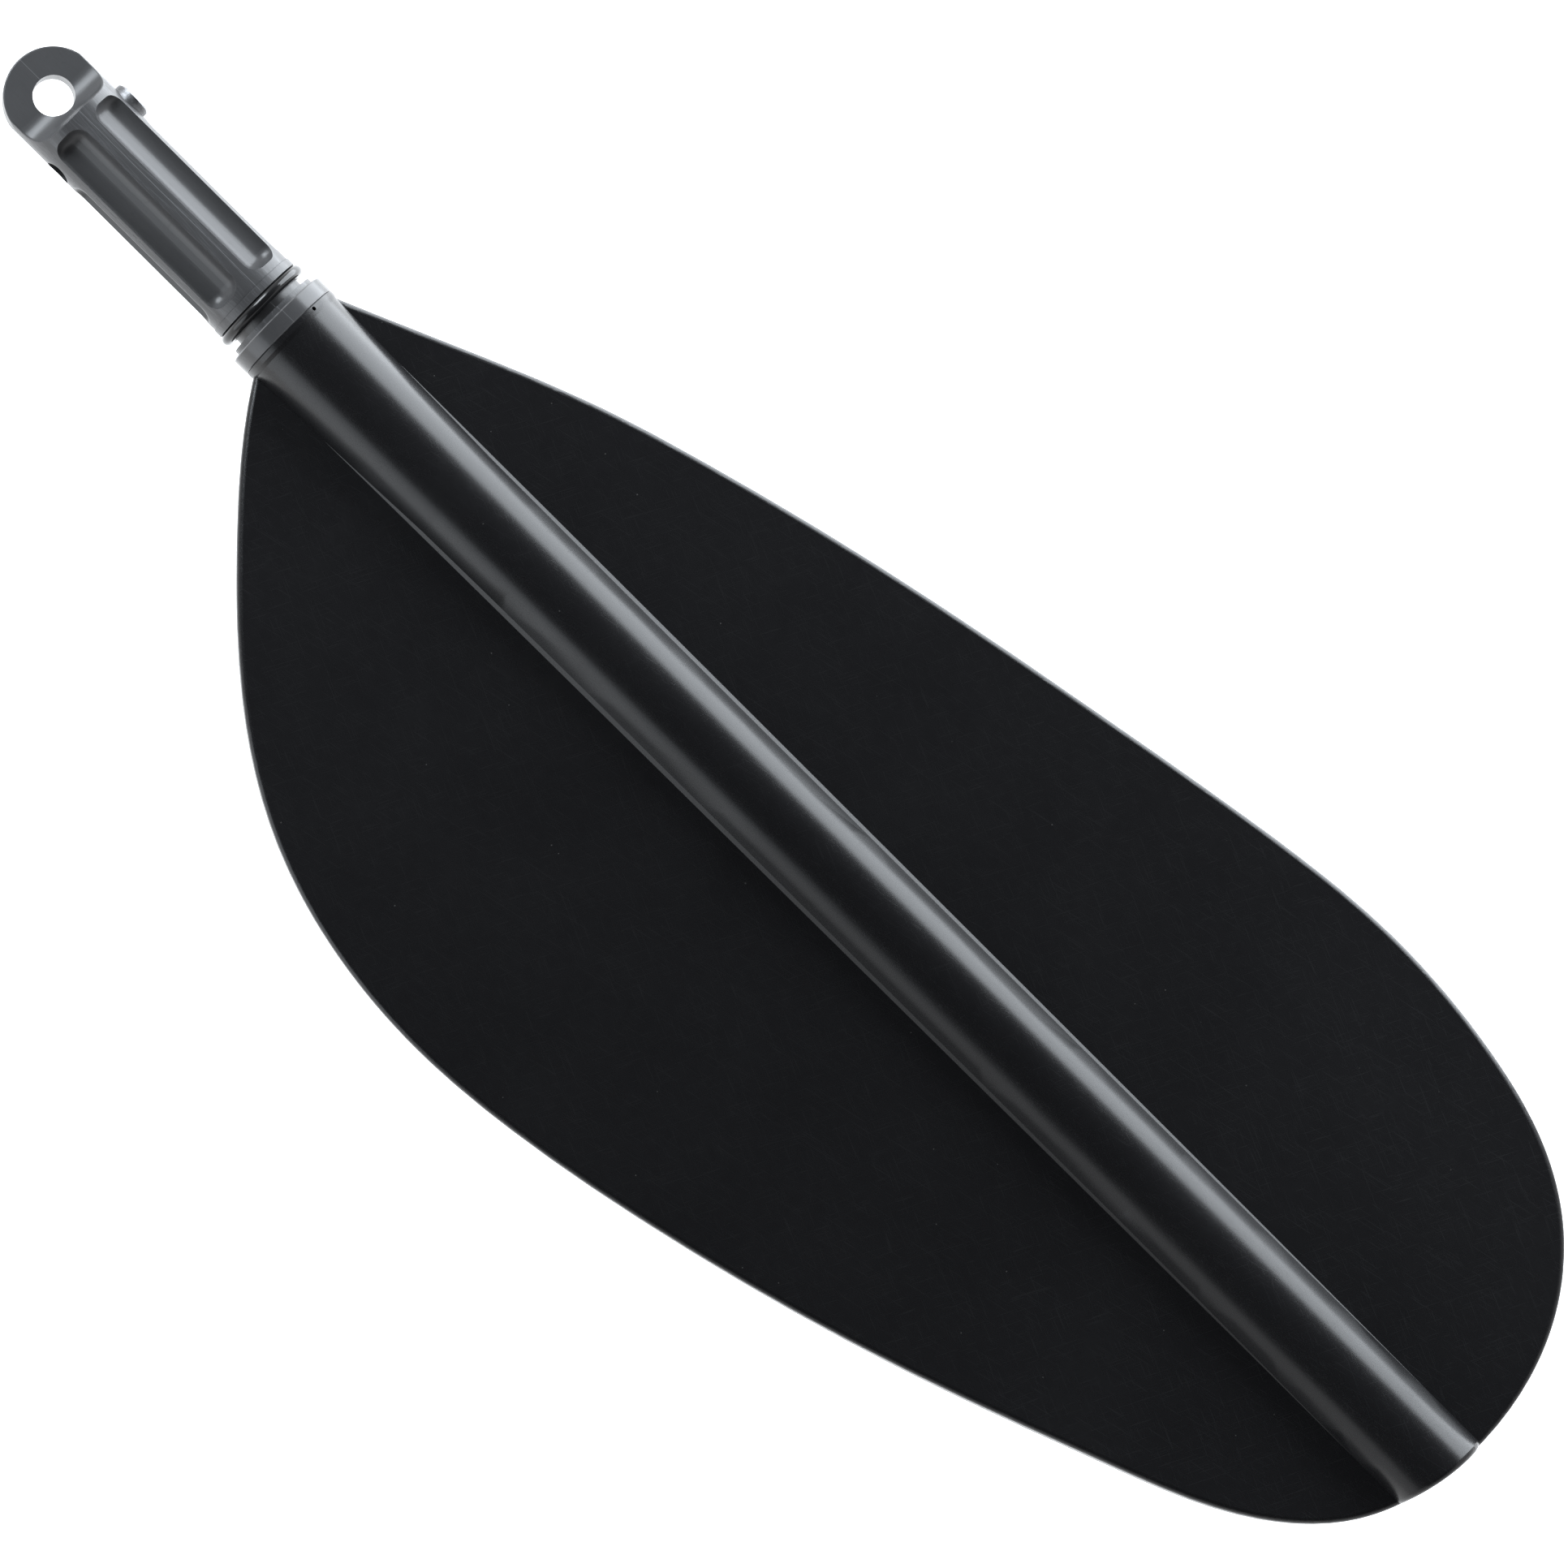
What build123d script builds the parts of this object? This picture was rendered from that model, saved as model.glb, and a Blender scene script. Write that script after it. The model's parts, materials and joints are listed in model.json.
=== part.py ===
"""Detachable raft-oar blade with its plug-in ferrule, in millimetres.

X runs along the oar from the eye to the blade's tip, +Z is the front face, +Y the narrow wing.
The origin is on the axis, in the face of the collar that the shaft's end stops against.
"""

import os
from math import cos, radians, sin, tan

from build123d import *

# ---- Ferrule: one nylon moulding, plugged into the shaft from the stop face at x = 0 ----------
body_r = 15.0                # fluted body
lip_r = 15.3                 # full-round lands that guide the shaft's bore
eye_x = -92.9                # centre of the eye's hole
eye_hole_r = 6.3
eye_thickness = 8.0
eye_scoop_r = 8.5            # hollow run-out from the eye's flat up to the body
eye_scoop_end = 8.8          # from the eye's centre to the end of that run-out
eye_round = 0.5
lip_length = 2.6             # land on the eye side of the O-ring
groove_length = 6.0
groove_r = 12.5
step_length = 1.7            # land between the groove and the collar
collar_r = 17.5
collar_length = 5.6
collar_chamfer = 0.4
tail_length = 70.0           # spigot bonded in the spine's tube
tail_chamfer = 1.0           # lead-in for bonding
bond_gap = 0.1               # adhesive line round the tail, the tube and the foam
glue_groove_count = 3
glue_groove_pitch = 18.0
glue_groove_length = 4.0
glue_groove_depth = 0.6

# ---- Flutes in the ferrule --------------------------------------------------------------------
flute_depth = 4.6            # below the body's surface, at the flute's middle
flute_half_angle = 24.5      # half the angle that a front or rear flute takes up
flute_angle = 33.5           # its middle, from the front or rear rib
flute_start_x = -81.3
flute_end_x = -12.9
flute_draft = 35.0           # slope of the side walls, degrees
flute_floor_round = 5.5
flute_end_round = 4.5
flute_rim_round = 0.8
flute_rim_edges = 8          # four sides and four corners
side_flute_depth = 3.0
side_flute_half_angle = 18.5
side_flute_wall = 0.6        # left between the button's bore and a side flute

# ---- O-ring -----------------------------------------------------------------------------------
ring_section = 3.53
ring_wall_gap = 0.15         # from the groove's wall on the eye side
ring_floor_gap = 0.03

# ---- Press button, across the ferrule along Y -------------------------------------------------
button_x = -76.1
button_r = 5.9
button_top = 17.0            # from the oar's axis, button out
button_head = 5.0
button_chamfer = 0.5
button_travel = 2.8
stem_r = 2.4
sliding_clearance = 0.1      # head and stem in their bores
spring_wire = 0.8
spring_outer_r = 5.1
spring_turns = 3.5
spring_reserve = 1.5         # left between the coils with the button pressed
spring_end_gap = 0.05        # coil to the faces it bears on
web_length = 3.0             # wall that the stem slides in
stop_gap = 0.02              # washer to that wall, button out
washer_r = 3.7
washer_thickness = 0.8
screw_head_r = 3.2
screw_head_length = 2.6
screw_shank_r = 1.5
screw_shank_length = 6.0
screw_socket = 3.0           # across flats
screw_socket_depth = 1.4
thread_gap = 0.05            # screw in the stem and in the washer
access_clearance = 0.4       # hole round the washer, wide enough for a key

# ---- Blade ------------------------------------------------------------------------------------
blade_length = 482.3         # from the collar's back to the tip
narrow_width = 105.0         # axis to the narrow wing's edge
wide_width = 125.0           # axis to the wide wing's edge
tip_offset = 10.5            # the tip's furthest point, towards the narrow wing
rim_half = 2.2               # half the wing's thickness at its rim
rim_round = 1.7
ridge_rise = 2.9             # how much thicker, by half, it is beside the spine
face_margin = 6.0            # how far the wing's face is drawn past the outline
face_steps_x = 20            # grid that the face is drawn through
face_steps_y = 14
spine_root_r = 17.0
spine_neck_r = 15.9          # where the root's quick taper ends
spine_neck_length = 70.0
spine_tip_r = 15.2
spine_end_round = 1.7
root_band_r = 17.4           # raised band of the shells against the collar
root_band_length = 1.6
root_band_slope = 1.3
root_ring_length = 12.0      # how far the full ring runs into the wings
strip_root_half = 16.6       # axis to the foot of the sloping strip between spine and wing
strip_tip_half = 15.2
strip_run = 4.5
strip_rise = 4.0
strip_sink = 0.3             # how far the strip's foot is below the wing's face
skin = 1.5                   # shell over the foam
bond_land = 9.0              # solid rim where the two shells are bonded
foam_steps = 40              # steps round the blade's edge that the foam's rim is drawn from
foam_end = 1.0               # height left at each end of the foam, over the spine's side
tube_outer_r = 13.5
tube_wall = 2.0
tube_end_wall = 9.0          # shell left past the tube, at the tip
plug_length = 12.0
bleed_r = 0.65               # hole that lets air and glue out of the tail's bond
bleed_offset = 0.95          # from the collar's back
bleed_angle = 27.0           # from the front, towards the narrow wing

# Outline of each wing from root to tip: share of the blade's length, share of the wing's width
narrow_outline = [
    (0.003, 0.158),
    (0.042, 0.234),
    (0.092, 0.333),
    (0.167, 0.471),
    (0.242, 0.577),
    (0.342, 0.695),
    (0.541, 0.877),
    (0.641, 0.955),
    (0.741, 1.000),
    (0.841, 0.958),
    (0.895, 0.888),
    (0.940, 0.766),
    (0.979, 0.547),
]
wide_outline = [
    (0.003, 0.130),
    (0.022, 0.237),
    (0.067, 0.438),
    (0.117, 0.628),
    (0.167, 0.780),
    (0.217, 0.887),
    (0.292, 0.974),
    (0.366, 0.999),
    (0.441, 0.977),
    (0.541, 0.907),
    (0.641, 0.811),
    (0.741, 0.690),
    (0.841, 0.548),
    (0.940, 0.365),
    (0.979, 0.208),
]

# ---- Places worked out from the sizes above ---------------------------------------------------
groove_start = -step_length - groove_length
lip_start = groove_start - lip_length
ring_r = ring_section / 2
ring_x = groove_start + ring_wall_gap + ring_r
ring_circle_r = groove_r + ring_floor_gap + ring_r
tube_bore_r = tube_outer_r - tube_wall
tail_r = tube_bore_r - bond_gap
tail_end = collar_length + tail_length
blade_root = collar_length
blade_tip = blade_root + blade_length
tube_end = blade_tip - tube_end_wall
plug_start = tube_end - plug_length
head_bottom = button_top - button_head
spring_room = spring_wire * (spring_turns + 1) + spring_reserve
spring_seat = head_bottom - button_travel - spring_room
web_bottom = spring_seat - web_length
washer_top = web_bottom - stop_gap
washer_bottom = washer_top - washer_thickness
screw_bottom = washer_bottom - screw_head_length
head_bore_r = button_r + sliding_clearance
stem_bore_r = stem_r + sliding_clearance
access_r = washer_r + access_clearance
side_flute_start_x = button_x + head_bore_r + side_flute_wall
big = 4 * collar_r           # past the ferrule or spine on every side

os.makedirs("parts", exist_ok=True)


def across(y):
    """Plane square to the button's axis, at distance y from the oar's axis, facing +Y."""
    return Plane(origin=(button_x, y, 0), x_dir=(1, 0, 0), z_dir=(0, 1, 0))


def station(x):
    """Plane square to the oar's axis at x, with its own x along +Y and its own y along +Z."""
    return Plane(origin=(x, 0, 0), x_dir=(0, 1, 0), z_dir=(1, 0, 0))


# ---- Ferrule body -----------------------------------------------------------------------------
def make_flute(length, depth, half_angle):
    """Trough with sloping walls, a round floor and round ends, cut in from +Z, centred on x = 0."""
    slope = tan(radians(flute_draft))
    rim_y = body_r * sin(radians(half_angle))
    rim_z = body_r * cos(radians(half_angle))
    floor_z = body_r - depth
    foot_y = rim_y - (rim_z - floor_z) * slope
    top_z = body_r + depth
    top_y = rim_y + (top_z - rim_z) * slope
    with BuildPart() as trough:
        with BuildSketch(station(-length / 2)) as profile:
            with BuildLine():
                Polyline((-top_y, top_z), (-foot_y, floor_z), (foot_y, floor_z), (top_y, top_z), close=True)
            make_face()
            fillet(profile.vertices().sort_by(Axis.Y)[:2], flute_floor_round)
        extrude(amount=length)
        ends = trough.faces().filter_by(Axis.X).edges()
        fillet(ends.filter_by(lambda edge: edge.center().Z < top_z - 0.01), flute_end_round)
    return trough.part


front_flute = make_flute(flute_end_x - flute_start_x, flute_depth, flute_half_angle)
side_flute = make_flute(flute_end_x - side_flute_start_x, side_flute_depth, side_flute_half_angle)

with BuildPart() as ferrule_body:
    with BuildSketch(Plane.XZ):
        with BuildLine():
            Polyline(
                (eye_x - body_r, 0),
                (eye_x - body_r, body_r),
                (lip_start, body_r),
                (lip_start, lip_r),
                (groove_start, lip_r),
                (groove_start, groove_r),
                (-step_length, groove_r),
                (-step_length, lip_r),
                (0, lip_r),
                (0, collar_r),
                (collar_length, collar_r),
                (collar_length, tail_r),
                (tail_end - tail_chamfer, tail_r),
                (tail_end, tail_r - tail_chamfer),
                (tail_end, 0),
                close=True,
            )
        make_face()
    revolve(axis=Axis.X)

    # glue grooves round the tail
    for turn in range(1, glue_groove_count + 1):
        with BuildSketch(station(collar_length + turn * glue_groove_pitch)):
            Circle(tail_r)
            Circle(tail_r - glue_groove_depth, mode=Mode.SUBTRACT)
        extrude(amount=glue_groove_length, mode=Mode.SUBTRACT)

    # the eye: round end, flat faces that run up to the body in a hollow, and its hole
    with BuildSketch():
        with Locations((eye_x - body_r, 0)):
            Rectangle(2 * body_r, 3 * body_r)
        with Locations((eye_x, 0)):
            Circle(body_r, mode=Mode.SUBTRACT)
    extrude(amount=big, both=True, mode=Mode.SUBTRACT)
    scoop_x = eye_x + eye_scoop_end - eye_scoop_r
    scoop_z = eye_thickness / 2 + eye_scoop_r
    with BuildSketch(Plane.XZ):
        with BuildLine():
            Line((eye_x - 2 * body_r, eye_thickness / 2), (scoop_x, eye_thickness / 2))
            ThreePointArc(
                (scoop_x, eye_thickness / 2),
                (scoop_x + eye_scoop_r * sin(radians(45)), scoop_z - eye_scoop_r * cos(radians(45))),
                (scoop_x + eye_scoop_r, scoop_z),
            )
            Polyline(
                (scoop_x + eye_scoop_r, scoop_z),
                (scoop_x + eye_scoop_r, big),
                (eye_x - 2 * body_r, big),
                (eye_x - 2 * body_r, eye_thickness / 2),
            )
        make_face()
        mirror(about=Plane.XZ)
    extrude(amount=big, both=True, mode=Mode.SUBTRACT)
    with Locations((eye_x, 0, 0)):
        Hole(eye_hole_r)

    # bores for the button, its stem and the screw's access
    with BuildSketch(across(spring_seat)):
        Circle(head_bore_r)
    extrude(amount=big, mode=Mode.SUBTRACT)
    with BuildSketch(across(web_bottom)):
        Circle(stem_bore_r)
    extrude(amount=web_length, mode=Mode.SUBTRACT)
    with BuildSketch(across(web_bottom)):
        Circle(access_r)
    extrude(amount=-big, mode=Mode.SUBTRACT)

    # flutes: two on the front, two on the rear, one on each parting side
    with Locations(((flute_start_x + flute_end_x) / 2, 0, 0)):
        for middle in (flute_angle, -flute_angle, 180 - flute_angle, 180 + flute_angle):
            add(front_flute, rotation=(middle, 0, 0), mode=Mode.SUBTRACT)
    with Locations(((side_flute_start_x + flute_end_x) / 2, 0, 0)):
        for middle in (90, -90):
            add(side_flute, rotation=(middle, 0, 0), mode=Mode.SUBTRACT)

    # soft edges: the flutes' rims, the collar, and the eye's outline where its flats end
    cylinders = ferrule_body.faces().filter_by(GeomType.CYLINDER)
    body = cylinders.filter_by(lambda face: abs(face.radius - body_r) < 0.01).sort_by(SortBy.AREA)[-1]
    flute_rims = [wire.edges() for wire in body.inner_wires() if len(wire.edges()) == flute_rim_edges]
    fillet(ShapeList(edge for rim in flute_rims for edge in rim), flute_rim_round)

    rings = ferrule_body.edges().filter_by(GeomType.CIRCLE)
    chamfer(rings.filter_by(lambda edge: abs(edge.radius - collar_r) < 0.01), collar_chamfer)

    scoop_end = scoop_x + eye_scoop_r
    eye_edges = ferrule_body.edges().filter_by(
        lambda edge: (edge.center(CenterOf.BOUNDING_BOX).X < scoop_end + 0.01)
        and all(abs((edge @ t).Z) > eye_thickness / 2 - 0.01 for t in (0, 0.5, 1))
        and max(abs((edge @ t).Y) for t in (0, 0.5, 1)) > eye_hole_r + 0.01
        and abs((edge @ 0.5).X - scoop_x) > 0.01
    )
    fillet(eye_edges, eye_round)
ferrule_body.part.label = "ferrule_body"
export_step(ferrule_body.part, "parts/ferrule_body.step")

with BuildPart() as o_ring:
    with BuildSketch():
        with Locations((ring_x, ring_circle_r)):
            Circle(ring_r)
    revolve(axis=Axis.X)
o_ring.part.label = "o_ring"
export_step(o_ring.part, "parts/o_ring.step")

# ---- Button, its spring and its screw ---------------------------------------------------------
with BuildPart() as lock_button:
    with BuildSketch(across(head_bottom)):
        Circle(button_r)
    extrude(amount=button_head)
    chamfer(lock_button.edges().sort_by(Axis.Y)[-1], button_chamfer)
    with BuildSketch(across(washer_top)):
        Circle(stem_r)
    extrude(amount=head_bottom - washer_top)
    with BuildSketch(across(washer_top)):
        Circle(screw_shank_r + thread_gap)
    extrude(amount=screw_shank_length, mode=Mode.SUBTRACT)
lock_button.part.label = "lock_button"
export_step(lock_button.part, "parts/lock_button.step")

with BuildPart() as button_washer:
    with BuildSketch(across(washer_bottom)):
        Circle(washer_r)
        Circle(screw_shank_r + thread_gap, mode=Mode.SUBTRACT)
    extrude(amount=washer_thickness)
button_washer.part.label = "button_washer"
export_step(button_washer.part, "parts/button_washer.step")

with BuildPart() as button_screw:
    with BuildSketch(across(screw_bottom)):
        Circle(screw_head_r)
    extrude(amount=screw_head_length)
    with BuildSketch(across(screw_bottom)):
        RegularPolygon(screw_socket / 2, 6, major_radius=False)
    extrude(amount=screw_socket_depth, mode=Mode.SUBTRACT)
    with BuildSketch(across(washer_bottom)):
        Circle(screw_shank_r)
    extrude(amount=screw_shank_length)
button_screw.part.label = "button_screw"
export_step(button_screw.part, "parts/button_screw.step")

spring_height = head_bottom - spring_seat - 2 * spring_end_gap - spring_wire
spring_r = spring_outer_r - spring_wire / 2
spring_start = (button_x, spring_seat + spring_end_gap + spring_wire / 2, 0)
with BuildPart() as button_spring:
    with BuildLine() as coil:
        Helix(spring_height / spring_turns, spring_height, spring_r, spring_start, (0, 1, 0))
    with BuildSketch(Plane(origin=coil.line @ 0, z_dir=coil.line % 0)):
        Circle(spring_wire / 2)
    sweep()
button_spring.part.label = "button_spring"
export_step(button_spring.part, "parts/button_spring.step")

# ---- Blade: outline and thickness -------------------------------------------------------------
with BuildSketch() as outline:
    with BuildLine():
        narrow = [(blade_root + s * blade_length, w * narrow_width) for s, w in narrow_outline]
        wide = [(blade_root + s * blade_length, -w * wide_width) for s, w in wide_outline]
        edge = Spline(*narrow, (blade_tip, tip_offset), *reversed(wide))
        Line(edge @ 0, edge @ 1)
    make_face()


def half_thickness(x, y):
    """Half the wing's thickness: full beside the spine at mid blade, thin at the rim all round."""
    width = narrow_width if y > 0 else wide_width
    along = min(max((x - blade_root) / blade_length, 0), 1)
    return rim_half + ridge_rise * (1 - (y / width) ** 2) * (1 - (2 * along - 1) ** 4)


def wing_face(depth):
    """The wings' front face, or a face that much below it, reaching past the outline."""
    start_x = blade_root - face_margin
    start_y = -wide_width - face_margin
    step_x = (blade_length + 2 * face_margin) / face_steps_x
    step_y = (narrow_width + wide_width + 2 * face_margin) / face_steps_y
    points = []
    for i in range(face_steps_x + 1):
        x = start_x + i * step_x
        row = [start_y + j * step_y for j in range(face_steps_y + 1)]
        points.append([Vector(x, y, half_thickness(x, y) - depth) for y in row])
    return Face.make_surface_from_array_of_points(points, tol=0.01, min_deg=1, max_deg=3)


# ---- Inside of the blade: tube, its fillings and the wings' foam ------------------------------
with BuildPart() as spine_tube:
    with BuildSketch(station(blade_root)):
        Circle(tube_outer_r)
        Circle(tube_bore_r, mode=Mode.SUBTRACT)
    extrude(amount=tube_end - blade_root)
    bleed_plane = Plane(
        origin=(blade_root + bleed_offset, 0, 0),
        x_dir=(1, 0, 0),
        z_dir=(0, sin(radians(bleed_angle)), cos(radians(bleed_angle))),
    )
    with BuildSketch(bleed_plane):
        Circle(bleed_r)
    extrude(amount=big, mode=Mode.SUBTRACT)
spine_tube.part.label = "spine_tube"
export_step(spine_tube.part, "parts/spine_tube.step")

with BuildPart() as spine_foam:
    with BuildSketch(station(tail_end)):
        Circle(tube_bore_r - bond_gap)
    extrude(amount=plug_start - tail_end)
spine_foam.part.label = "spine_foam"
export_step(spine_foam.part, "parts/spine_foam.step")

with BuildPart() as tube_end_plug:
    with BuildSketch(station(plug_start)):
        Circle(tube_bore_r - bond_gap)
    extrude(amount=plug_length)
tube_end_plug.part.label = "tube_end_plug"
export_step(tube_end_plug.part, "parts/tube_end_plug.step")


def make_foam_room(side, gap):
    """Room for one wing's foam, or the foam itself when it stands off by a gap all round."""
    inner = tube_outer_r + bond_gap + skin + gap
    points = []
    for step in range(1, foam_steps):
        along = edge % (step / foam_steps)
        inward = Vector(along.Y, -along.X)
        point = edge @ (step / foam_steps) + inward * (bond_land + gap)
        if side * point.Y > inner + foam_end:
            points.append(point)
    with BuildPart() as room:
        with BuildSketch():
            with BuildLine():
                rim = Spline(*points)
                Polyline(
                    rim @ 0,
                    ((rim @ 0).X, side * inner),
                    ((rim @ 1).X, side * inner),
                    rim @ 1,
                )
            make_face()
        extrude(amount=2 * tube_outer_r)
        split(bisect_by=wing_face(skin + gap), keep=Keep.BOTTOM)
        mirror(about=Plane.XY)
    return room.part


small_room = make_foam_room(1, 0)
large_room = make_foam_room(-1, 0)

with BuildPart() as small_wing_core:
    add(make_foam_room(1, bond_gap))
small_wing_core.part.label = "small_wing_core"
export_step(small_wing_core.part, "parts/small_wing_core.step")

with BuildPart() as large_wing_core:
    add(make_foam_room(-1, bond_gap))
large_wing_core.part.label = "large_wing_core"
export_step(large_wing_core.part, "parts/large_wing_core.step")

# ---- Outside of the blade ---------------------------------------------------------------------
with BuildPart() as wings:
    add(outline.sketch)
    extrude(amount=2 * tube_outer_r)
    split(bisect_by=wing_face(0), keep=Keep.BOTTOM)
    rim = wings.faces().sort_by(Axis.Z)[-1].edges().sort_by(SortBy.LENGTH)[-1]
    fillet(rim, rim_round)

ring_end_r = spine_root_r - (spine_root_r - spine_neck_r) * root_ring_length / spine_neck_length
with BuildPart() as root_ring:
    with BuildSketch():
        with BuildLine():
            Polyline(
                (blade_root, 0),
                (blade_root, root_band_r),
                (blade_root + root_band_length, root_band_r),
                (blade_root + root_band_length + root_band_slope, spine_root_r),
                (blade_root + root_ring_length, ring_end_r),
                (blade_root + root_ring_length, 0),
                close=True,
            )
        make_face()
    revolve(axis=Axis.X)
    split(bisect_by=Plane.XY, keep=Keep.TOP)

with BuildPart() as spine:
    with BuildSketch():
        with BuildLine():
            Polyline(
                (blade_root, 0),
                (blade_root, spine_root_r),
                (blade_root + spine_neck_length, spine_neck_r),
                (blade_tip, spine_tip_r),
                (blade_tip, 0),
                close=True,
            )
        make_face()
    revolve(axis=Axis.X)
    with BuildSketch():
        with Locations((blade_tip, 0)):
            Rectangle(4 * spine_tip_r, 4 * spine_tip_r)
        add(outline.sketch, mode=Mode.SUBTRACT)
    extrude(amount=big, both=True, mode=Mode.SUBTRACT)
    split(bisect_by=Plane.XY.offset((rim_half - rim_round) / 2), keep=Keep.TOP)
    spine_end = spine.faces().filter_by(GeomType.EXTRUSION).edges().sort_by(Axis.Z)[-1]
    fillet(spine_end, spine_end_round)

with BuildPart() as strip:
    for share in (0, 0.05, 0.12, 0.25, 0.5, 0.75, 0.88, 0.95, 1):
        x = blade_root + share * (blade_length - tip_offset)
        foot = strip_root_half + (strip_tip_half - strip_root_half) * share
        foot_z = half_thickness(x, foot) - strip_sink
        with BuildSketch(station(x)):
            with BuildLine():
                Polyline(
                    (-foot, 0),
                    (-foot, foot_z),
                    (-foot + strip_run, foot_z + strip_rise),
                    (foot - strip_run, foot_z + strip_rise),
                    (foot, foot_z),
                    (foot, 0),
                    close=True,
                )
            make_face()
    loft()

with BuildPart() as blade_front_shell:
    add(wings.part)
    add(root_ring.part)
    add(spine.part)
    add(strip.part)
    with BuildSketch(station(blade_root)):
        Circle(tube_outer_r + bond_gap)
    extrude(amount=tube_end - blade_root, mode=Mode.SUBTRACT)
    add(small_room, mode=Mode.SUBTRACT)
    add(large_room, mode=Mode.SUBTRACT)

with BuildPart() as blade_rear_shell:
    mirror(blade_front_shell.part, about=Plane.XY)
blade_rear_shell.part.label = "blade_rear_shell"
export_step(blade_rear_shell.part, "parts/blade_rear_shell.step")

with blade_front_shell:
    with BuildSketch(bleed_plane):
        Circle(bleed_r)
    extrude(amount=big, mode=Mode.SUBTRACT)
blade_front_shell.part.label = "blade_front_shell"
export_step(blade_front_shell.part, "parts/blade_front_shell.step")
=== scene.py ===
# %% [markdown]
# # A take-apart oar blade
# This is the outer end of a raft oar: a black moulded blade with a round spine down its middle, and
# a grey nylon ferrule that plugs into the shaft. A press button in the ferrule snaps into a hole in
# the shaft, and a rubber ring keeps the water out.
#
# The shape of every piece comes from the packed CAD model, so this file is about finish and light:
# what each surface is made of, how it was moulded or turned, and where hands, sand and the shaft
# have rubbed it. We load the model first and keep its box.

# %% Load the model
import json
from math import pi, radians, sin, cos

import bmesh
import bpy
from mathutils import Matrix, Vector


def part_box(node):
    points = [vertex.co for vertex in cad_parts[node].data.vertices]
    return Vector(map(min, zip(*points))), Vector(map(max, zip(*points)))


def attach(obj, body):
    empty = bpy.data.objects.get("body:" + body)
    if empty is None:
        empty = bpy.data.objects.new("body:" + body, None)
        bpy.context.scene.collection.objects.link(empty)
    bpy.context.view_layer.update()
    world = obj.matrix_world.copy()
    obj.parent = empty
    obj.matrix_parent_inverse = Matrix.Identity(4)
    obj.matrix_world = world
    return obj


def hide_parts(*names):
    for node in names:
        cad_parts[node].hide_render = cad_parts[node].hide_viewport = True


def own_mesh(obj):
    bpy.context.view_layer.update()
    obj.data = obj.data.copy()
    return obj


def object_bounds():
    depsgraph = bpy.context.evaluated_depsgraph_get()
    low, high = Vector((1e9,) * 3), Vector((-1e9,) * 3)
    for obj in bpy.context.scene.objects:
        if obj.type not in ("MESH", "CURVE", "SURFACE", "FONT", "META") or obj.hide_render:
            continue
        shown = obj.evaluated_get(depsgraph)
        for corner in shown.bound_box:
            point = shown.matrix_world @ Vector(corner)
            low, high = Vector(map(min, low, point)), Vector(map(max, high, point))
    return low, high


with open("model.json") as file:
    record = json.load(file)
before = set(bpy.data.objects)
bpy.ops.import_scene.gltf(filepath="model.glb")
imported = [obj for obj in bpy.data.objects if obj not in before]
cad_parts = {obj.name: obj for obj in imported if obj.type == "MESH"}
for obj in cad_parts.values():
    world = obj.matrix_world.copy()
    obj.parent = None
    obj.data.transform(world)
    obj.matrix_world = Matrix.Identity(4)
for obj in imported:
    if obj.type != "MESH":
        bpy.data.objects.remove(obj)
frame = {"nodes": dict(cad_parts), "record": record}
cad_low, cad_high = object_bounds()
print("pieces:", sorted(frame["nodes"]))
print("box in mm:", [round(1000 * v, 1) for v in (*cad_low, *cad_high)])

# %% [markdown]
# ## Arithmetic that builds shader nodes
# A procedural finish is mostly sums: "a little lighter where the noise is high and the radius is
# past the land". Wiring dozens of Math nodes by hand hides that. One small class wraps a node's
# output and overloads Python's operators, so a sum reads as a sum and adds its own nodes.

# %% A socket that can be added and multiplied
class Signal:
    """One output of a shader node. Arithmetic on it adds Math nodes to the same tree."""

    def __init__(self, tree, socket):
        self.tree = tree
        self.socket = socket

    def math(self, operation, *values):
        return self.tree.node("ShaderNodeMath", {"operation": operation}, dict(enumerate(values)))

    def out(self, name):
        """Another output of the same node."""
        return Signal(self.tree, self.socket.node.outputs[name])

    def __add__(self, other):
        return self.math("ADD", self, other)

    def __radd__(self, other):
        return self.math("ADD", other, self)

    def __sub__(self, other):
        return self.math("SUBTRACT", self, other)

    def __rsub__(self, other):
        return self.math("SUBTRACT", other, self)

    def __mul__(self, other):
        return self.math("MULTIPLY", self, other)

    def __rmul__(self, other):
        return self.math("MULTIPLY", other, self)

    def __pow__(self, other):
        return self.math("POWER", self, other)

    def __abs__(self):
        return self.math("ABSOLUTE", self)

    def rise(self, low, high):
        """0 below low, 1 above high, and a smooth step between them."""
        limits = {"Value": self, "From Min": low, "From Max": high}
        return self.tree.node("ShaderNodeMapRange", {"interpolation_type": "SMOOTHSTEP"}, limits)

    def fall(self, low, high):
        """1 below low, 0 above high."""
        return 1 - self.rise(low, high)

    def line(self, middle, half_width):
        """1 on a thin line where the value is middle, 0 a half width away from it."""
        return abs(self - middle).fall(0, half_width)

    def wave(self, length):
        """A sine from -1 to 1 that repeats each time the value grows by length."""
        return self.math("SINE", self * (2 * pi / length))


print("a Signal can", [name for name in vars(Signal) if not name.startswith("__")])

# %% [markdown]
# ## One way to add a node
# Every node in this file comes from one method, which takes the node's type, its settings, and then
# what goes into its sockets.

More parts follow.
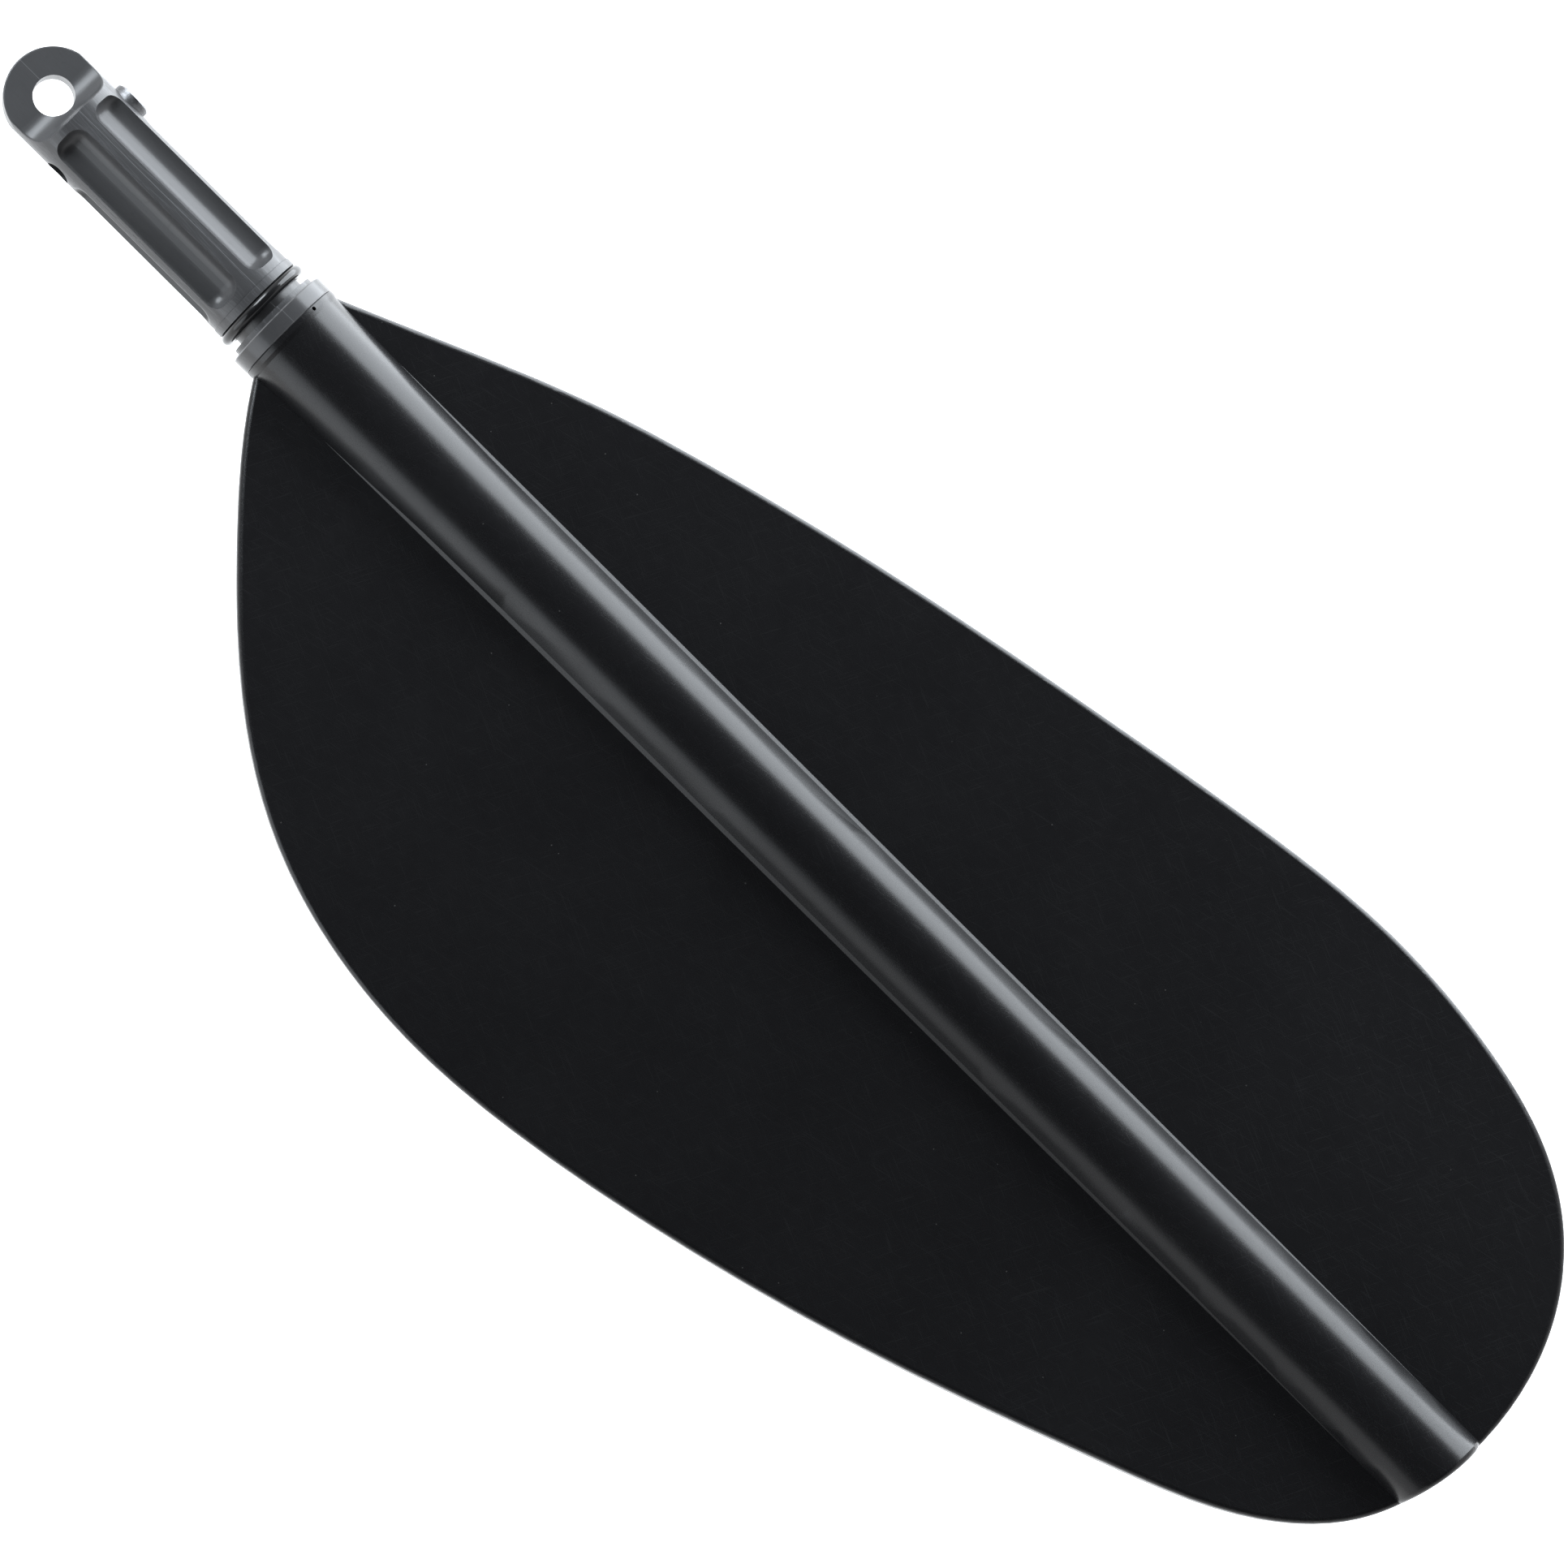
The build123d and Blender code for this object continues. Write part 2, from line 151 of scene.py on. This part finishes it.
# %% A node tree
class Tree:
    """A material's or the world's nodes."""

    def __init__(self, owner):
        owner.use_nodes = True
        self.nodes = owner.node_tree.nodes
        self.links = owner.node_tree.links

    def feed(self, node, values):
        """Links a socket to a Signal, or sets it to a number or a colour."""
        for key, value in values.items():
            if isinstance(value, Signal):
                self.links.new(value.socket, node.inputs[key])
            else:
                node.inputs[key].default_value = value

    def node(self, kind, settings={}, values={}, output=0):
        """Adds one node: its settings first, then its sockets. Gives back one of its outputs."""
        made = self.nodes.new(kind)
        for name, value in settings.items():
            setattr(made, name, value)
        self.feed(made, values)
        return Signal(self, made.outputs[output])


# %% [markdown]
# ## A finish under construction
# Each finish starts from Blender's Principled shader. Patterns read Object coordinates, which stay
# on the piece when it moves. They are turned into millimetres here, because a grain of 0.4 mm is
# easier to picture than one of 0.0004 m.

# %% A material that is built up in steps
class Finish(Tree):
    """A material that starts from the Principled shader."""

    def __init__(self, name, **constants):
        self.material = bpy.data.materials.new(name)
        super().__init__(self.material)
        self.shader = self.nodes["Principled BSDF"]
        self.feed(self.shader, {key.replace("_", " "): value for key, value in constants.items()})
        metres = self.node("ShaderNodeTexCoord", output="Object")
        scaled = {0: metres, "Scale": 1000}
        self.place = self.node("ShaderNodeVectorMath", {"operation": "SCALE"}, scaled)
        self.x = self.node("ShaderNodeSeparateXYZ", {}, {0: self.place}, "X")
        self.y, self.z = self.x.out("Y"), self.x.out("Z")

    def noise(self, size, detail, stretch=(1, 1, 1), turn=0.0, offset=0.0):
        """Soft noise from 0 to 1 with features about size mm across, drawn out along an axis."""
        where = self.node("ShaderNodeMapping", {"vector_type": "TEXTURE"}, {
            "Vector": self.place,
            "Location": (offset, offset, offset),
            "Rotation": (0, 0, turn),
            "Scale": stretch,
        })
        values = {"Vector": where, "Scale": 1 / size, "Detail": detail}
        return self.node("ShaderNodeTexNoise", {}, values, "Fac")

    def cells(self, size, feature="F1"):
        """Distance into cells about size mm across."""
        values = {"Vector": self.place, "Scale": 1 / size}
        return self.node("ShaderNodeTexVoronoi", {"feature": feature}, values, "Distance")

    def blend(self, share, first, second):
        """A colour between two colours."""
        first, second = [c if isinstance(c, Signal) else (*c, 1) for c in (first, second)]
        return self.node("ShaderNodeMix", {"data_type": "RGBA"}, {0: share, 6: first, 7: second}, 2)

    def radius(self, a, b):
        """Distance from the axis that is square to a and b."""
        return (a * a + b * b) ** 0.5

    def done(self, colour, roughness, height):
        """Plugs in what varies. The height is in thousandths of a millimetre."""
        bump = self.node("ShaderNodeBump", {}, {"Height": height, "Distance": 1e-6})
        self.feed(self.shader, {"Base Color": colour, "Roughness": roughness, "Normal": bump})
        print(self.material.name, "has", len(self.nodes), "nodes")
        return self.material


def dress(material, *names):
    """Gives a CAD piece its finish, without touching its mesh."""
    for name in names:
        for slot in frame["nodes"][name].material_slots:
            slot.material = material
    print(material.name, "on", names)


# %% [markdown]
# ## Scratches
# Real handling leaves fine straight scratches that cross at low angles. Noise that is drawn out
# many times along one direction and cut off near its top gives broken thin lines. Three turned
# layers of it look like years of sand. The blade, the ferrule and the button all use this helper.

# %% Crossing scratches
scratch_edge = 0.04  # how far the noise rises across a scratch's soft side
layer_shift = 7.3  # mm from one layer's noise to the next, so that no two are alike


def scratches(finish, width, length, turns, keep):
    """1 in fine scratches of that width and length in mm, 0 between them."""
    layers = 0
    for number, turn in enumerate(turns):
        stretch = (length / width / 2, 1, 1)
        drawn = finish.noise(width * 2, 1, stretch, radians(turn), layer_shift * number)
        layers = drawn.rise(keep, keep + scratch_edge) + layers
    return layers.rise(0, 1)


print("a scratch's soft side takes", scratch_edge, "of the noise's height")

# %% [markdown]
# ## Blade skin
# The blade is two shells of black fibre-filled plastic, moulded in a polished tool and bonded round
# the rim. Black plastic is never quite black or quite even: the flow of the melt leaves faint
# clouds, the tool leaves a fine grain, and the wall sinks about a hundredth of a millimetre between
# stiffer places. Those slow waves are what make the light's reflection wander along the spine.
#
# Wear sits where the blade meets rock: on the rim, and more towards the tip. The rim is the only
# place on the wings where the skin is less than about 2 mm from the middle plane, so the height
# above that plane makes the mask. The bond line is a hair-thin groove at the plane itself.

# %% Satin black moulded skin
def blade_skin():
    finish = Finish("blade_skin", IOR=1.5)
    clouds = finish.noise(45, 3)
    mottle = finish.noise(4, 3, offset=11)
    grain = finish.noise(0.55, 2, offset=23)
    sink = finish.noise(60, 1, (2.5, 1, 1), offset=31)
    off_plane = abs(finish.z)
    rim = off_plane.fall(1.2, 2.1)
    outboard = finish.x.rise(250, 480)
    bond_line = finish.z.line(0, 0.07)
    scuffs = scratches(finish, 0.16, 14, (12, -24, 63), 0.66)
    chips = finish.noise(1.6, 3, offset=47).rise(0.56, 0.66) * rim * (0.35 + 0.65 * outboard)
    specks = finish.cells(9).fall(0.018, 0.03)
    light = 0.3 * clouds + 0.25 * mottle + 0.4 * outboard
    colour = finish.blend(light, (0.0076, 0.0075, 0.0082), (0.0152, 0.0152, 0.0164))
    colour = finish.blend(0.25 * scuffs * (0.2 + 0.8 * outboard), colour, (0.03, 0.031, 0.033))
    colour = finish.blend(0.6 * chips, colour, (0.06, 0.062, 0.065))
    colour = finish.blend(specks * 0.5, colour, (0.09, 0.088, 0.085))
    colour = finish.blend(bond_line * 0.8, colour, (0.003, 0.003, 0.003))
    roughness = 0.22 + 0.06 * clouds + 0.03 * mottle + 0.12 * chips + 0.05 * scuffs + 0.2 * specks
    height = 4 * grain + 1.2 * mottle + 25 * sink - 2 * scuffs - 14 * chips - 60 * bond_line
    return finish.done(colour, roughness, height)


dress(blade_skin(), "blade_front_shell", "blade_rear_shell")

# %% [markdown]
# ## Ferrule nylon
# The ferrule is one moulding of grey nylon filled with short glass fibres. The fibres line up with
# the flow along its length and show as a faint streaky bloom. The tool opened sideways, so a fine
# raised line runs down the front and the back, through the eye and over the collar.
#
# The shaft slides over the lands and the ribs each time the oar is put together. That rubs them
# smoother along the axis, and scuffs the edges at the collar's ends. Radius from the axis separates
# these places: the flutes and the groove lie below the body's surface, the lands just above it.
# The collar's face that the shaft stops against is at x = 0, where the model's frame begins.

# %% Glass-filled nylon
def ferrule_nylon():
    finish = Finish("ferrule_nylon", IOR=1.52)
    body_r, collar_r, collar_length = 15.0, 17.5, 5.6
    step_x = 1000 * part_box("o_ring")[0].x - 2.75
    across = finish.radius(finish.y, finish.z)
    fibres = finish.noise(0.35, 3, (9, 1, 1))
    bloom = finish.noise(14, 3, (2, 1, 1), offset=5)
    grain = finish.noise(0.5, 2, offset=17)
    collar = finish.x.rise(-0.2, 0) * across.rise(collar_r - 1, collar_r - 0.6)
    land = across.rise(body_r - 0.1, body_r) * (1 - collar)
    rubbed = scratches(finish, 0.2, 26, (0, 3, -4), 0.6) * land
    parting = finish.y.line(0.5, 0.16)
    ends = finish.x.fall(0.1, 0.5) + finish.x.rise(collar_length - 0.6, collar_length - 0.2)
    worn = finish.noise(2.5, 3, offset=29).rise(0.3, 0.6)
    edge = across.rise(collar_r - 0.6, collar_r - 0.4) * ends * worn
    # The step beside the seal gets a thin dark line of painted shade in its crease, and a shallow
    # groove in the bump.
    step = finish.x.line(step_x, 0.14) * across.rise(body_r - 0.2, body_r - 0.05)
    knocks = finish.noise(2.2, 4, offset=37).rise(0.64, 0.7)
    light = 0.3 + 0.35 * bloom + 0.3 * fibres - 0.15 * grain
    colour = finish.blend(light, (0.042, 0.0422, 0.0435), (0.08, 0.0802, 0.0825))
    colour = finish.blend(0.3 * rubbed, colour, (0.15, 0.153, 0.16))
    colour = finish.blend(0.35 * edge + 0.45 * parting, colour, (0.2, 0.202, 0.208))
    colour = finish.blend(0.2 * knocks, colour, (0.035, 0.036, 0.038))
    # painted shade along the step beside the seal
    colour = finish.blend(0.6 * step, colour, (0.02, 0.02, 0.021))
    roughness = 0.27 + 0.06 * bloom + 0.05 * fibres - 0.05 * rubbed - 0.12 * collar + 0.06 * knocks
    height = 6 * fibres + 5 * grain + 9 * bloom - 2 * rubbed + 24 * parting - 5 * knocks - 25 * step
    return finish.done(colour, roughness, height)


dress(ferrule_nylon(), "ferrule_body")

# %% [markdown]
# ## Seal rubber
# The O-ring is black nitrile rubber with a smear of silicone grease, which is why it shines more
# than anything near it. The grease is uneven, so the gloss comes and goes round the ring, and it
# picks up a little dust. The faint ridge round the outside is where the two mould halves met.

# %% Greased rubber
def seal_rubber():
    finish = Finish("seal_rubber", IOR=1.5)
    low, high = [1000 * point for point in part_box("o_ring")]
    grease = finish.noise(3.5, 3)
    texture = finish.noise(0.25, 2, offset=13)
    dust = finish.cells(1.3).fall(0.05, 0.09) * grease.fall(0.4, 0.6)
    outside = finish.radius(finish.y, finish.z).rise(15, 16)
    ridge = finish.x.line((low.x + high.x) / 2, 0.09) * outside
    colour = finish.blend(grease, (0.0075, 0.0075, 0.008), (0.014, 0.014, 0.0145))
    colour = finish.blend(0.2 * dust, colour, (0.05, 0.049, 0.047))
    roughness = 0.2 - 0.1 * grease.rise(0.3, 0.65) + 0.2 * dust + 0.03 * texture
    height = 1.5 * texture + 4 * grease + 10 * ridge + 4 * dust
    return finish.done(colour, roughness, height)


dress(seal_rubber(), "o_ring")

# %% [markdown]
# ## Turned steel
# The button, its screw and its washer are turned from stainless bar. A lathe leaves rings: round
# the axis on a flat face, and one above another along a side. A sine of the radius plus the height
# gives both at once, since on each face only one of them changes. The chamfer that meets the hole
# in the shaft is polished by use, and the face carries scratches and a little grey grime.

# %% Steel with lathe rings
def button_steel():
    finish = Finish("button_steel", IOR=2.5)
    low, high = [1000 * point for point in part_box("lock_button")]
    out = finish.radius(finish.x - (low.x + high.x) / 2, finish.z - (low.z + high.z) / 2)
    lathe = out + finish.y
    corner = high.y + (high.z - low.z) / 2
    rings = lathe.wave(0.22)
    chatter = lathe.wave(1.4) * 0.5 + 0.5
    grime = finish.noise(2.4, 4).rise(0.42, 0.7)
    marks = scratches(finish, 0.08, 3, (20, 75, -40), 0.62)
    polished = lathe.rise(corner - 0.8, corner - 0.4)
    colour = finish.blend(0.3 * chatter + 0.4 * grime, (0.2, 0.202, 0.208), (0.09, 0.09, 0.093))
    colour = finish.blend(0.2 * polished + 0.25 * marks, colour, (0.42, 0.42, 0.43))
    finish.feed(finish.shader, {"Metallic": 1 - 0.35 * grime})
    roughness = 0.38 + 0.14 * grime + 0.06 * chatter - 0.1 * polished
    height = 1.6 * rings + 1.5 * chatter - 3 * marks + 2 * grime
    return finish.done(colour, roughness, height)


dress(button_steel(), "lock_button", "button_screw", "button_washer")

# %% [markdown]
# ## Spring wire
# The spring under the button is drawn wire with a thin film of oil. Drawing leaves long fine lines
# and a few darker patches where the film has dried.

# %% Drawn wire
def spring_wire():
    finish = Finish("spring_steel", IOR=2.5, Metallic=1.0)
    film = finish.noise(1.8, 3).rise(0.4, 0.7)
    lines = finish.noise(0.09, 2, (1, 5, 1), offset=3)
    colour = finish.blend(film, (0.56, 0.56, 0.57), (0.3, 0.28, 0.25))
    colour = finish.blend(0.25 * lines, colour, (0.7, 0.7, 0.7))
    return finish.done(colour, 0.22 + 0.16 * film + 0.08 * lines, 2 * lines + film)


wire = spring_wire()
dress(wire, "button_spring")

# %% [markdown]
# ## A copy of the spring
# Pressing the button squeezes its spring by the joint's travel. A CAD piece never changes shape, so
# a copy of the spring stands for it, and the CAD spring is hidden; the copy keeps its shape. The
# room left when the button is in, over the room when it is out, is the share of its height that it
# would keep. The gap at the coil's other end is taken to be the same as the one at its seat.

# %% A spring copy and its room
motion = frame["record"]["behaviour"]["joints"][0]
travel = motion["range_m"][1]
seat = motion["deforming_nodes"][0]["fixed_end_y_m"]
spring_low, spring_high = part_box("button_spring")
end_gap = spring_low.y - seat
room = spring_high.y + end_gap - seat

coil = bpy.data.objects.new("button_coil", frame["nodes"]["button_spring"].data.copy())
bpy.context.scene.collection.objects.link(coil)
coil.data.materials.clear()
coil.data.materials.append(wire)
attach(coil, "blade")
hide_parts("button_spring")
1 - travel / room
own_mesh(coil)
print("spring's room", round(1000 * room, 2), "mm, travel", 1000 * travel, "mm")

# %% [markdown]
# ## Inside the blade
# Nobody sees the tube and the foam until the blade is cut open, but a part in a library may be
# shown in section. The tube is wound from fibre, so two sets of turns cross at a steady angle: a
# wave of the distance along it plus, or minus, the angle round it. The foam is small closed cells,
# and the plug in the tube's end is plain moulded plastic.

# %% Wound tube
def wound_tube():
    finish = Finish("tube_composite", IOR=1.52)
    radius = 1000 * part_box("spine_tube")[1].z
    pitch = 2 * pi * radius / 24
    round_it = finish.y.math("ARCTAN2", finish.y, finish.z) * radius
    one_way = (finish.x + round_it).wave(pitch)
    other_way = (finish.x - round_it).wave(pitch)
    over = (finish.x.wave(14) * 3).rise(-1, 1)
    turns = over * one_way + (1 - over) * other_way
    resin = finish.noise(6, 3)
    colour = finish.blend(turns.rise(-1, 1), (0.012, 0.012, 0.013), (0.045, 0.045, 0.047))
    return finish.done(colour, 0.36 + 0.14 * resin - 0.06 * turns, 12 * turns + 10 * resin)


dress(wound_tube(), "spine_tube")

# %% Closed-cell foam
def cell_foam():
    finish = Finish("core_foam", IOR=1.4)
    walls = finish.cells(0.7, "DISTANCE_TO_EDGE").fall(0.02, 0.14)
    open_cells = finish.cells(2.6).fall(0.1, 0.3)
    tone = finish.noise(20, 3)
    colour = finish.blend(tone, (0.62, 0.54, 0.36), (0.78, 0.72, 0.55))
    colour = finish.blend(0.35 * walls, colour, (0.86, 0.82, 0.7))
    colour = finish.blend(0.5 * open_cells, colour, (0.34, 0.28, 0.18))
    return finish.done(colour, 0.82 + 0.1 * tone, 60 * walls - 140 * open_cells)


dress(cell_foam(), "spine_foam", "small_wing_core", "large_wing_core")

# %% Plain moulded plug
def plug_plastic():
    finish = Finish("plug_plastic", IOR=1.5)
    tone = finish.noise(5, 3)
    grain = finish.noise(0.4, 2, offset=9)
    colour = finish.blend(tone, (0.035, 0.035, 0.038), (0.06, 0.06, 0.065))
    return finish.done(colour, 0.5 + 0.1 * grain, 8 * grain + 10 * tone)


dress(plug_plastic(), "tube_end_plug")

# %% [markdown]
# ## Floor
# A glossy black product is shot on fine pins well above a pale lit sheet, so that no shadow muddies
# the background, and light reaches its lower edges from all round. A grid from bmesh makes the
# sheet, large enough for any view, and a weak emission is the lamp behind it.

# %% A pale glowing sheet
floor_half = 6.0
pin_height = 0.6
floor_z = cad_low.z - pin_height
paper_tone = (0.86, 0.86, 0.86, 1)

sheet = bmesh.new()
bmesh.ops.create_grid(sheet, x_segments=8, y_segments=8, size=floor_half)
bmesh.ops.translate(sheet, verts=sheet.verts, vec=(0, 0, floor_z))
floor_mesh = bpy.data.meshes.new("floor")
sheet.to_mesh(floor_mesh)
sheet.free()
floor = bpy.data.objects.new("floor", floor_mesh)
bpy.context.scene.collection.objects.link(floor)

paper = Finish("floor_paper", Roughness=0.9, Specular_IOR_Level=0.1)
glow = {"Emission Color": (1, 1, 1, 1), "Emission Strength": 1.0}
paper.feed(paper.shader, {"Base Color": paper_tone, **glow})
floor_mesh.materials.append(paper.material)
print("floor at", round(1000 * floor_z, 2), "mm, faces:", len(floor_mesh.polygons))

# %% [markdown]
# ## Light
# Glossy black is drawn by what it reflects. The studio here is dark overhead, so the wide faces
# stay deep black, and pale all round below that, which gives each round surface a soft grey side.
# One large softbox stands beyond the narrow wing and puts the bright band down the spine, and a
# weaker one near the eye fills the other side, so its band fades towards the tip. A small bright
# one past the eye picks out the ferrule's hollows.
#
# The dark ceiling and the pale walls are one gradient in the world, tilted to face the camera.

# %% A dark ceiling over pale walls
tilt = radians(9)
toward_camera = Vector((0, -sin(tilt), cos(tilt)))
ceiling_ends, walls_begin = radians(50), radians(66)
ceiling_level, wall_level = 0.02, 0.75

world = bpy.data.worlds.new("studio")
bpy.context.scene.world = world
studio = Tree(world)
direction = studio.node("ShaderNodeTexCoord", output="Generated")
product = {0: direction, 1: toward_camera}
facing = studio.node("ShaderNodeVectorMath", {"operation": "DOT_PRODUCT"}, product, "Value")
level = studio.node("ShaderNodeMapRange", {"interpolation_type": "SMOOTHSTEP"}, {
    "Value": facing,
    "From Min": cos(walls_begin),
    "From Max": cos(ceiling_ends),
    "To Min": wall_level,
    "To Max": ceiling_level,
})
studio.feed(studio.nodes["Background"], {"Color": (0.97, 0.98, 1.0, 1), "Strength": level})
print("walls", wall_level, "ceiling", ceiling_level)


# %% Softboxes
cool_white = (0.88, 0.94, 1.0)


def softbox(name, middle, target, width, height, level):
    """A rectangular lamp that faces the target. A lamp of level 1 is as bright as white paper."""
    lamp = bpy.data.lights.new(name, "AREA")
    lamp.shape = "RECTANGLE"
    lamp.size, lamp.size_y = width, height
    lamp.energy = level * pi * width * height
    lamp.color = cool_white
    holder = bpy.data.objects.new(name, lamp)
    bpy.context.scene.collection.objects.link(holder)
    back = (Vector(middle) - Vector(target)).normalized()
    side = Vector((0, 0, 1)).cross(back).normalized()
    holder.matrix_world = Matrix((side, back.cross(side), back)).transposed().to_4x4()
    holder.location = middle
    holder.visible_camera = False
    print(name, "at", [round(v, 2) for v in middle], "power", round(lamp.energy, 2), "W")


centre = (cad_low + cad_high) / 2
away = 1.2
main, fill, end = radians(85), radians(-74), radians(-58)
for name, way, width, height, level in (
    ("main_softbox", (-0.12, sin(main), cos(main)), 1.3, 1.5, 6.3),
    ("fill_softbox", (-0.4, sin(fill), cos(fill)), 1.0, 1.0, 1.5),
    ("end_softbox", (sin(end), 0, cos(end)), 0.5, 0.55, 12.0),
):
    softbox(name, centre + away * Vector(way), centre, width, height, level)

# %% [markdown]
# ## Camera
# A long lens far away keeps the sides of the blade parallel, as product pictures do. The camera
# stands square over the blade, leans nine degrees towards the wide wing, and is rolled so that the
# blade lies corner to corner.

# %% A long lens, rolled to the diagonal
lens = bpy.data.cameras.new("camera")
lens.lens = 300
lens.sensor_width = 36
lens.clip_end = 50
distance = 3.87
roll = radians(44.8)
off_centre = Vector((0.0137, 0.0184, 0))
aim = centre + off_centre
camera = bpy.data.objects.new("camera", lens)
bpy.context.scene.collection.objects.link(camera)
camera.matrix_world = (
    Matrix.Translation(aim + distance * toward_camera)
    @ Matrix.Rotation(tilt, 4, "X")
    @ Matrix.Rotation(roll, 4, "Z")
)
bpy.context.scene.camera = camera
bpy.context.scene.view_settings.view_transform = "Standard"
print("camera", [round(v, 2) for v in camera.location], "lens", lens.lens, "mm")

# %% [markdown] Finish and light never change a size, so the box of what is shown must equal the
# box that came with the model.
